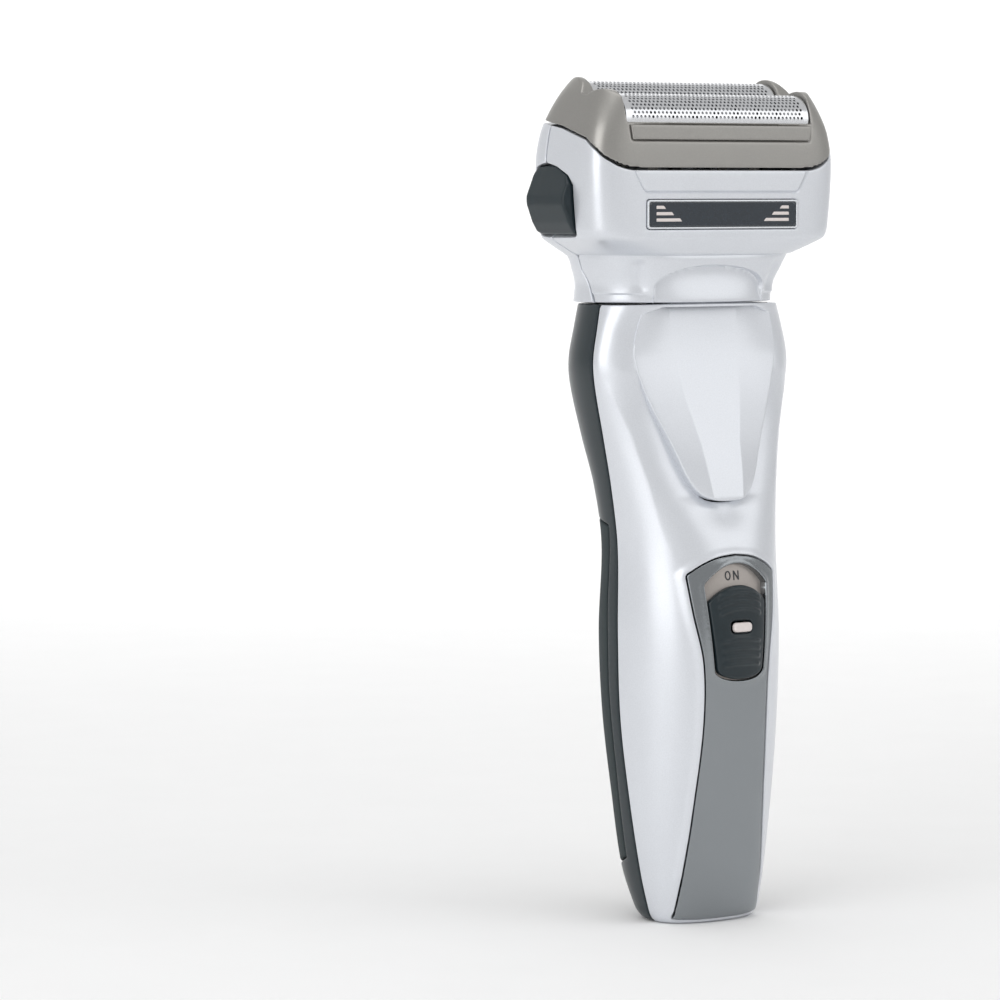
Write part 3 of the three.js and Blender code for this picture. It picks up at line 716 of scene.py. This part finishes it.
def grip_loop(inset):
    """Outline of the rubber grip on the rear skin."""
    heights = np.linspace(GRIP_BOTTOM + inset, GRIP_TOP - inset, 120)
    right = [(handle_rear.at_y(float(line(GRIP_EDGE, z)) + inset, z, 1), z) for z in heights]
    left = [(handle_rear.at_y(float(line(GRIP_EDGE, z)) + inset, z, -1), z) for z in heights[::-1]]
    over = np.linspace(right[-1][0], left[0][0], 30)[1:-1]
    under = np.linspace(left[-1][0], right[0][0], 30)[1:-1]
    top = [(u, GRIP_TOP - inset + 3 * (1 - abs(u / right[-1][0]) ** 1.6)) for u in over]
    foot = [(u, GRIP_BOTTOM + inset - 4 * (1 - abs(u / right[0][0]) ** 1.6)) for u in under]
    return rounded(right + top + left + foot, 2)


rear_shell = patch(
    "rear_shell_visual",
    handle_rear,
    rear_loop,
    [spread(grip_loop(0), 0.5)],
    spacing=0.75,
    roll=0.3,
    thickness=1.5,
)
fit(rear_shell, "handle", "black_shell", "rear_shell")


def grip_relief(u, v, place):
    """Shallow cross ribs on the rubber that fade towards its edges."""
    fade = smoothstep(16, 24, v) * (1 - smoothstep(66, 73, v)) * (1 - smoothstep(9, 13, np.abs(u)))
    wave = np.cos(v * 2 * math.pi / 4.2 + 0.012 * u * u)
    return fade * 0.32 * smoothstep(0.15, 0.85, wave)


rear_grip = patch(
    "rear_grip_visual", handle_rear, grip_loop(GAP), spacing=0.6, roll=0.45, thickness=1.2, relief=grip_relief
)
fit(rear_grip, "handle", "grip_rubber", "rear_grip")

base_ring = handle_ring(0.05, ring_angles, 0.25)[:, :2]
base_plate = patch(
    "base_plate",
    Plane((0, 0, 0.05), (1, 0, 0), (0, -1, 0)),
    base_ring * [1, -1],
    [spread(round_box(3.6, 4.9, 8.7, 0.8), 0.3)],
    spacing=0.7,
    roll=0.2,
    thickness=1.4,
)
fit(base_plate, "handle", "silver_shell")


def round_hole(x, y, radius, count=48):
    turns = np.linspace(0, 2 * math.pi, count + 1)[:-1]
    return [(x + radius * math.cos(t), y + radius * math.sin(t)) for t in turns]


handle_deck = patch(
    "handle_deck",
    facing_up(HANDLE_TOP - 0.35),
    np.maximum(handle_ring(HANDLE_TOP, ring_angles, 1.3)[:, :2], [-99, -2.4]),
    [round_hole(0, SHAFT_Y, 5.2)],
    spacing=0.8,
    roll=0.2,
    thickness=1.5,
)
fit(handle_deck, "handle", "black_shell")


# ---- Thumb shield ---------------------------------------------------------------------------


class ShieldFace:
    """Three facets: a flat centre between two ridges and a bevel to each side."""

    def place(self, u, v):
        x = np.abs(u)
        ridge = line([*SHIELD_CENTRE[:-1], [HANDLE_TOP, 8.0]], v)
        edge = np.maximum(line([[81.8, 5.2], *SHIELD_EDGE], v), ridge + 0.8)
        centre = between(SHIELD_RIDGE, v)
        rim = between(SHIELD_RIM, v)
        share = np.clip((x - ridge) / (edge - ridge), 0, 1.2)
        y = centre + (rim - centre) * share
        normal = np.repeat(np.array([[0.0, -1.0, 0.0]]), len(u), 0)
        return np.stack([u, y, v], -1), normal


shield = patch(
    "thumb_shield",
    ShieldFace(),
    shield_xz,
    spacing=0.5,
    roll=0.3,
    thickness=3.4,
    lines=[[(side * x, z) for z, x in SHIELD_CENTRE] for side in (-1, 1)],
    fine=0.2,
)
fit(shield, "handle", "silver_shell")


# ---- Switch panel ---------------------------------------------------------------------------


def lifted(amount):
    """The relief of a face that lies off the skin by amount everywhere."""
    return lambda u, v, place: np.full(len(u), amount)


slot_xz = slot_outline(SLOT["half"], SLOT["top"], SLOT["bottom"], SLOT["shoulder"])
slot_rim = [spread(slot_xz, 0.5)]


def panel_relief(u, v, place):
    """A raised lip round the slot."""
    return 0.12 + 0.28 * (1 - smoothstep(0.4, 1.3, distance(place[:, [0, 2]], slot_rim)))


panel = patch(
    "switch_panel_visual",
    handle_front,
    handle_front.at_x(spread(panel_xz, 0.4)),
    [handle_front.at_x(spread(slot_xz, 0.35))],
    spacing=0.45,
    roll=0.3,
    thickness=1.2,
    relief=panel_relief,
)
fit(panel, "handle", "smoked_chrome", "switch_panel")

plate_xz = slot_outline(SLOT["half"] + 0.7, SLOT["top"] + 0.7, SLOT["bottom"] - 0.7, SLOT["shoulder"])
stem_hole = handle_front.at_x(spread([(-2, 52), (2, 52), (2, 62.5), (-2, 62.5)], 0.5))
plate = patch(
    "slot_plate_visual",
    handle_front,
    handle_front.at_x(spread(plate_xz, 0.4)),
    [stem_hole],
    spacing=0.5,
    roll=0,
    thickness=0.5,
    relief=lifted(-0.95),
)
fit(plate, "handle", "slot_beige", "slot_plate")


def sign(name, outline, holes=()):
    """A printed mark on the slot plate."""
    shape = patch(
        name,
        handle_front,
        handle_front.at_x(spread(outline, 0.12)),
        [handle_front.at_x(spread(hole, 0.12)) for hole in holes],
        spacing=0.15,
        roll=0,
        thickness=0.3,
        relief=lifted(-0.87),
    )
    return fit(shape, "handle", "dark_nylon")


# The ON mark over the switch: middle height, height, width and stroke of its letters.
mid, tall, wide, bar = 67.8, 1.8, 1.35, 0.24


def letter_o(inset):
    turns = np.linspace(0, 2 * math.pi, 33)[:-1]
    return [
        (-1.5 + (wide / 2 - inset) * math.cos(t), mid + (tall / 2 - inset) * math.sin(t)) for t in turns
    ]


sign("mark_on_ring", letter_o(0), [letter_o(bar)])
left, right, low, high = -0.2, -0.2 + wide, mid - tall / 2, mid + tall / 2
letter_n = [
    (left, low),
    (left + bar, low),
    (left + bar, high - 0.5),
    (right - bar, low),
    (right, low),
    (right, high),
    (right - bar, high),
    (right - bar, low + 0.5),
    (left + bar, high),
    (left, high),
]
sign("mark_on_zigzag", letter_n)


def button_relief(u, v, place):
    """A dome with curved ribs above and below the light bar."""
    x, z = place[:, 0], place[:, 2]
    crown = 0.9 * np.sqrt(np.clip(1 - (x / 7.3) ** 2, 0, 1)) + 0.25
    upper, lower = z + 0.05 * x * x, z + 0.015 * x * x
    above = smoothstep(60.4, 61.0, upper) * (1 - smoothstep(65.2, 65.9, upper))
    below = smoothstep(50.0, 50.6, lower) * (1 - smoothstep(55.4, 56.0, lower))
    side = 1 - smoothstep(4.5, 5.4, np.abs(x) + 0.06 * (65 - z))
    bow = np.where(z > 58, upper, lower)
    ribs = (above + below) * side * 0.34 * (np.cos(bow * 2 * math.pi / 1.5) * 0.5 + 0.5)
    return crown + ribs - 0.35


def lens_box(grow, radius):
    return round_box(LENS["half"] + grow, LENS["bottom"] - grow, LENS["top"] + grow, radius)


button_xz = slot_outline(BUTTON["half"], BUTTON["top"], BUTTON["bottom"], BUTTON["shoulder"])
button = patch(
    "switch_button_visual",
    handle_front,
    handle_front.at_x(spread(button_xz, 0.3)),
    [handle_front.at_x(spread(lens_box(0.25, 0.8), 0.25))],
    spacing=0.2,
    roll=0.5,
    thickness=1.5,
    relief=button_relief,
)
fit(button, "power_switch", "black_shell", "switch_button")
lens = patch(
    "indicator_lens_visual",
    facing_front(LENS_Y),
    lens_box(0, 0.7),
    spacing=0.25,
    roll=0.3,
    thickness=0.8,
)
fit(lens, "power_switch", "indicator", "indicator_lens")
stem = prism([(-1.6, -17.3), (1.6, -17.3), (1.6, -11.7), (-1.6, -11.7)], 2, 54.2, 58.2, "switch_stem")
fit(stem, "power_switch", "dark_nylon")


# ---- Head housings ----------------------------------------------------------------------------

head_front = Skin(head_ring, HEAD_BOTTOM, 163.4, 231)
head_rear = Skin(head_ring, HEAD_BOTTOM, 163.4, 231, back=True)


def head_loop(skin, shift, notch, sense):
    """One head housing up to its rim, with the side button openings cut from its seams.

    The rim's height depends on Y, and Y on the height, so both are found by repetition.
    """
    sides = []
    for side in (1, -1):
        top = 153.4
        for _ in range(6):
            top = float(line(HEAD_RIM, line(HEAD_SEAM, top) + shift))
        edge = []
        for z in np.linspace(HEAD_BOTTOM, top, 320):
            y = float(line(HEAD_SEAM, z)) + shift
            if notch[0][0] < z < notch[-1][0]:
                cut = float(line(notch, z))
                y = min(y, cut) if sense < 0 else max(y, cut)
            edge.append((skin.at_y(y, z, side), z))
        sides.append(edge)
    right, left = sides
    rim = []
    for u in np.linspace(right[-1][0], left[-1][0], 200)[1:-1]:
        z = 148.0
        for _ in range(8):
            z = float(line(HEAD_RIM, skin.place(np.array([u]), np.array([z]))[0][0, 1]))
        rim.append((u, z - 0.05))
    return right + rim + left[::-1]


def window_box(inset, radius=0.6):
    return round_box(WINDOW["half"] - inset, WINDOW["bottom"] + inset, WINDOW["top"] - inset, radius)


engraved_half = [(17.6, 141.0), (18.3, 141.4), (20.0, 144.2), (20.3, 144.9)]
engraved_uv = head_front.at_x([(-x, z) for x, z in reversed(engraved_half)] + engraved_half)
neck_arch = [(-13 * math.cos(t), 122.6 + 4.5 * math.sin(t) ** 0.9) for t in np.linspace(0, math.pi, 33)]
arch_uv = head_front.at_x([(-13, 119), *neck_arch, (13, 119)])


def path_distance(points, path):
    there = np.asarray(path, float)
    return distance(points, [np.vstack([there, there[::-1]])])


def head_relief(u, v, place):
    """The engraved line over the window, the arched recess in the neck and the line round its top."""
    here = np.stack([u, v], -1)
    groove = -0.3 * (1 - smoothstep(0.0, 0.34, path_distance(here, engraved_uv)))
    away = path_distance(here, arch_uv)
    within = inside(here, [np.asarray(arch_uv)])
    depth = 0.5 + 1.1 * smoothstep(120, 126.5, v)
    step = -depth * np.where(within, smoothstep(0.0, 0.45, away), 0)
    beside_arch = np.where(within, 0, 1)
    foot = -0.3 * (1 - smoothstep(121.4, 121.7, v)) * beside_arch
    x = np.abs(place[:, 0])
    fold = -0.7 * np.exp(-(((x - 15.6 - 0.25 * (v - 124)) / 1.3) ** 2)) * smoothstep(120, 123, v)
    fold = fold * (1 - smoothstep(126.5, 128.5, v)) * beside_arch
    top_line = -0.25 * np.exp(-(((v - NECK_TOP) / 0.22) ** 2))
    return groove + step + foot + fold + top_line


neck_top = [(u, NECK_TOP) for u in np.linspace(-34, 34, 60)]
front_housing = patch(
    "head_front_visual",
    head_front,
    head_loop(head_front, -GAP / 2, RELEASE_FRONT, -1),
    [spread(head_front.at_x(window_box(-0.1)), 0.35)],
    spacing=0.45,
    roll=0.3,
    thickness=1.4,
    relief=head_relief,
    lines=[engraved_uv, arch_uv, neck_top],
    fine=0.17,
)
fit(front_housing, "head", "silver_shell", "head_front_housing")
rear_housing = patch(
    "head_rear_visual",
    head_rear,
    head_loop(head_rear, GAP / 2, RELEASE_REAR, 1),
    spacing=0.6,
    roll=0.3,
    thickness=1.4,
)
fit(rear_housing, "head", "silver_shell", "head_rear_housing")
neck_plate = patch(
    "neck_plate",
    Plane((0, 0, HEAD_BOTTOM + 0.35), (1, 0, 0), (0, -1, 0)),
    np.maximum(head_ring(HEAD_BOTTOM, ring_angles, 1.3)[:, :2], [-99, -3.4]) * [1, -1],
    [[(x, -y) for x, y in round_hole(0, SHAFT_Y, 4.0)]],
    spacing=0.8,
    roll=0.2,
    thickness=1.4,
)
fit(neck_plate, "head", "dark_nylon")

bezel = patch(
    "window_bezel_visual",
    facing_front(-11.25),
    window_box(0),
    [spread(window_box(0.34, 0.4), 0.3)],
    spacing=0.3,
    roll=0.12,
    thickness=0.9,
)
fit(bezel, "head", "bright_trim", "window_bezel")
pane = patch(
    "window_pane_visual",
    facing_front(-11.0),
    window_box(0.25, 0.4),
    spacing=0.6,
    roll=0.1,
    thickness=0.6,
)
fit(pane, "head", "window_glass", "window_pane")
for side in (-1, 1):
    for k, (length, z) in enumerate([(2.2, 138.1), (4.1, 136.9), (6.0, 135.7)]):
        outline = [(15.7, z - 0.3), (15.7, z + 0.3), (15.7 - length + 0.5, z + 0.3), (15.7 - length, z - 0.3)]
        mark = patch(
            f"window_bar_{'left' if side < 0 else 'right'}_{k + 1}",
            facing_front(-11.07),
            [(side * x, h) for x, h in outline],
            spacing=0.3,
            roll=0.05,
            thickness=0.2,
        )
        fit(mark, "head", "indicator")


# ---- Release buttons ----------------------------------------------------------------------------

for name, side in (("left", -1), ("right", 1)):
    front_edge = [(y + 0.35, z) for z, y in RELEASE_FRONT if y < 7]
    rear_edge = [(y - 0.35, z) for z, y in reversed(RELEASE_REAR) if y > 7]
    loop = front_edge + [(7, 146.1)] + rear_edge + [(7, 132.9)]
    outline = [(y, min(max(z, 132.9), 146.1)) for y, z in loop]
    wedge = prism(outline, 0, *sorted((side * 20, side * 34)), f"release_button_{name}_visual")
    combine(wedge, prism([(side * x, z) for x, z in RELEASE_SECTION], 1, -6, 16), "INTERSECT")
    soften(wedge, 0.2, 24)
    fit(wedge, f"release_{name}", "black_shell", f"release_button_{name}")


# ---- Foil frame and foils -------------------------------------------------------------------------


def arc(foil, radius, start, stop, count):
    turns = np.linspace(start, stop, count)
    return [(foil[0] + radius * math.cos(t), foil[1] + radius * math.sin(t)) for t in turns]


foil_frame = lofted([head_ring(z, ring_angles) for z in np.linspace(143, 163.4, 42)], "foil_frame_visual")
over_rim = [(y, z + GAP) for y, z in HEAD_RIM] + [(30, 175), (-30, 175)]
combine(foil_frame, prism(over_rim, 0, -40, 40), "INTERSECT")
cheeks = [
    (-14, 144),
    (20, 144),
    (20, 158.6),
    *arc(REAR_FOIL, CHEEK_RADIUS, 0, math.pi * 0.86, 28),
    *arc(FRONT_FOIL, CHEEK_RADIUS, math.pi * 0.3, math.pi, 26),
    (-14, 154.4),
]
combine(foil_frame, prism(cheeks, 0, -40, 40), "INTERSECT")
room_front, room_back = FRONT_FOIL[0] - FOIL_RADIUS - 0.15, REAR_FOIL[0] + FOIL_RADIUS + 0.15
room = [
    (-16, 154.2),
    (room_front, 154.2),
    (room_front, 140),
    (room_back, 140),
    (room_back, REAR_FOIL[1]),
    (22, REAR_FOIL[1]),
    (22, 170),
    (-16, 170),
]
combine(foil_frame, prism(room, 0, -FOIL_HALF_LENGTH - GAP, FOIL_HALF_LENGTH + GAP), "DIFFERENCE")
trim_xz = [(-21.4, 153.7), (-20.9, 150.9), (20.9, 150.9), (21.4, 153.7)]
combine(foil_frame, prism(grown(trim_xz, GAP), 1, -20, -10.3), "DIFFERENCE")
soften(foil_frame, 0.16, 18)
fit(foil_frame, "foil_cassette", "bronze_frame", "foil_frame")
bar_between = prism([(0.3, 152.6), (0.8, 152.6), (0.8, 155.4), (0.3, 155.4)], 0, -22.2, 22.2, "foil_divider")
fit(bar_between, "foil_cassette", "bronze_frame")
trim = patch("frame_trim_visual", facing_front(-10.85), trim_xz, spacing=0.5, roll=0.2, thickness=0.4)
fit(trim, "foil_cassette", "bronze_frame", "frame_trim")


class FoilArch:
    """A foil's outside: u along the head, v up its front foot, over the arch and down again."""

    def __init__(self, foil, foot):
        self.foil, self.foot = foil, foot
        self.length = 2 * foot + math.pi * FOIL_RADIUS

    def place(self, u, v):
        angle = np.clip((v - self.foot) / FOIL_RADIUS, 0, math.pi)
        drop = np.maximum(self.foot - v, 0) + np.maximum(v - self.foot - math.pi * FOIL_RADIUS, 0)
        normal = np.stack([np.zeros_like(u), -np.cos(angle), np.sin(angle)], -1)
        points = normal * FOIL_RADIUS + [0, self.foil[0], self.foil[1]]
        points[:, 0], points[:, 2] = u, points[:, 2] - drop
        return points, normal


# Holes of the foils: distance along a row, distance between rows, and radius.
PITCH, ROW, HOLE = 0.93, 0.8, 0.29
hole_ring = [(HOLE * math.cos(t), HOLE * math.sin(t)) for t in np.arange(8) * math.pi / 4]
for name, foil in (("front", FRONT_FOIL), ("rear", REAR_FOIL)):
    wall = FoilArch(foil, 1.4)
    holes = []
    rows = int((wall.length - 3.4) / ROW)
    for r in range(rows + 1):
        v = wall.length / 2 + (r - rows / 2) * ROW
        count = int((2 * FOIL_HALF_LENGTH - 2.4) / PITCH) - r % 2
        for c in range(count + 1):
            u = (c - count / 2) * PITCH
            holes.append([(u + du, v + dv) for du, dv in hole_ring])
    reach = FOIL_HALF_LENGTH
    edge = [(-reach, 0), (reach, 0), (reach, wall.length), (-reach, wall.length)]
    sheet = patch(f"{name}_foil_visual", wall, edge, holes, spacing=0.6, roll=0, thickness=0.12)
    fit(sheet, "foil_cassette", "foil_steel", f"{name}_foil")


# ---- Floor, light and camera ------------------------------------------------------------------------

paper = material("studio_paper", (0.95, 0.95, 0.95), 0.9, 0.0, 40, 0.01, 0.0)
sweep = [(-3000, 0), (-600, 0), (900, 0)]
sweep += [(900 + 700 * math.sin(t), 700 - 700 * math.cos(t)) for t in np.linspace(0, math.pi / 2, 24)[1:]]
sweep += [(1600, 3000)]
turn = math.radians(-33.437)
floor_points, floor_faces = [], []
for x in (-4000, 4000):
    for y, z in sweep:
        floor_points.append(
            (x * math.cos(turn) - y * math.sin(turn), x * math.sin(turn) + y * math.cos(turn), z)
        )
for i in range(len(sweep) - 1):
    floor_faces.append([i, i + 1, len(sweep) + i + 1, len(sweep) + i])
floor = make("studio_floor", floor_points, floor_faces)
floor.data.materials.append(paper)

world = bpy.data.worlds.new("studio")
world.use_nodes = True
world.node_tree.nodes["Background"].inputs["Color"].default_value = (1, 1, 1, 1)
world.node_tree.nodes["Background"].inputs["Strength"].default_value = 0.62
bpy.context.scene.world = world


def lamp(name, place, size, power, target=(0, 0, 0.085)):
    data = bpy.data.lights.new(name, "AREA")
    data.shape = "RECTANGLE"
    data.size, data.size_y = size
    data.energy = power
    shape = bpy.data.objects.new(name, data)
    bpy.context.scene.collection.objects.link(shape)
    shape.location = place
    aim = np.array(target) - np.array(place)
    yaw = math.atan2(-aim[0], aim[1])
    pitch = math.atan2(math.hypot(aim[0], aim[1]), -aim[2])
    shape.rotation_euler = (pitch, 0, yaw)
    return shape


lamp("key_left", (-0.95, -0.35, 0.45), (0.8, 0.9), 4.0)
lamp("front_right", (0.66, -0.84, 0.5), (0.8, 0.6), 1.25)
lamp("top", (0.0, -0.1, 0.95), (0.7, 0.7), 1.6)
lamp("backdrop", (0.45, 0.7, 1.0), (1.2, 0.8), 6.0, (1.0, 1.55, 0.2))

camera_data = bpy.data.cameras.new("camera")
camera_data.sensor_width = 36
camera_data.lens = 152.03
camera_data.clip_start, camera_data.clip_end = 0.01, 20
camera = bpy.data.objects.new("camera", camera_data)
bpy.context.scene.collection.objects.link(camera)
camera.location = (-0.4820, -0.6634, 0.142)
camera.rotation_euler = (math.radians(90 - 4.243), 0, math.radians(-33.437))
bpy.context.scene.camera = camera
bpy.context.scene.view_settings.view_transform = "Standard"
